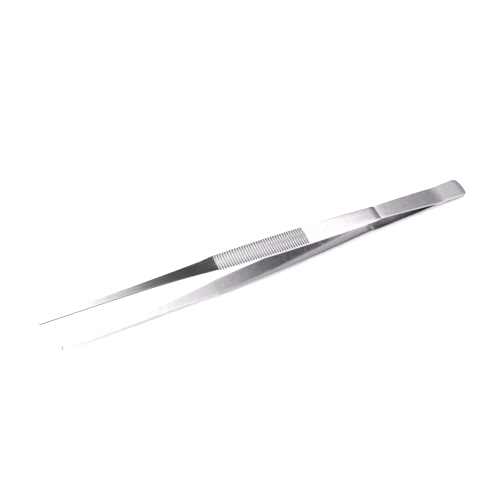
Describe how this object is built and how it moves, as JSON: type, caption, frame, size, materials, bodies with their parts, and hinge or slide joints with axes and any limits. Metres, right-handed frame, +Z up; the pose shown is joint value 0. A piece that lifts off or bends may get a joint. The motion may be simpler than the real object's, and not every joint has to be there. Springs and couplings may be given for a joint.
{
  "type": "aquascaping tweezers",
  "caption": "Long straight planting tweezers: two sprung steel strips welded at the heel, with ribbed finger grips and slender serrated jaws.",
  "frame": {"origin": "centre of the bounding box's base: the table that the tweezers lie on, below the middle of their length", "axes": "+Z up from the table; +X along the length, from the jaws to the heel; +Y across the strips. The lower arm lies on the table and the jaws open along Z."},
  "size_m": [0.2708, 0.0136, 0.0445],
  "materials": {
    "satin_steel": "satin, brushed lengthwise, with fine scratches",
    "polished_steel": "polished, with a fine lengthwise grain",
    "weld_metal": "fused, matt"
  },
  "bodies": {
    "heel": {"upper_heel_tab": "satin_steel", "lower_heel_tab": "satin_steel", "spot_welds": "weld_metal", "upper_spring_leaf": "satin_steel", "lower_spring_leaf": "satin_steel"},
    "upper_arm": {"upper_arm": "polished_steel"},
    "lower_arm": {"lower_arm": "polished_steel"}
  },
  "joints": [
    {"name": "upper_arm_flex", "type": "hinge", "parent": "heel", "child": "upper_arm", "pos_m": [0.09391, 0, 0.00898], "axis": [0, -1, 0], "range_deg": [0, 4.66], "stiffness_Nm_per_rad": 6, "deforming": ["upper_spring_leaf"]},
    {"name": "lower_arm_flex", "type": "hinge", "parent": "heel", "child": "lower_arm", "pos_m": [0.0933, 0, 0.00172], "axis": [0, 1, 0], "range_deg": [0, 4.66], "stiffness_Nm_per_rad": 6, "deforming": ["lower_spring_leaf"]}
  ]
}
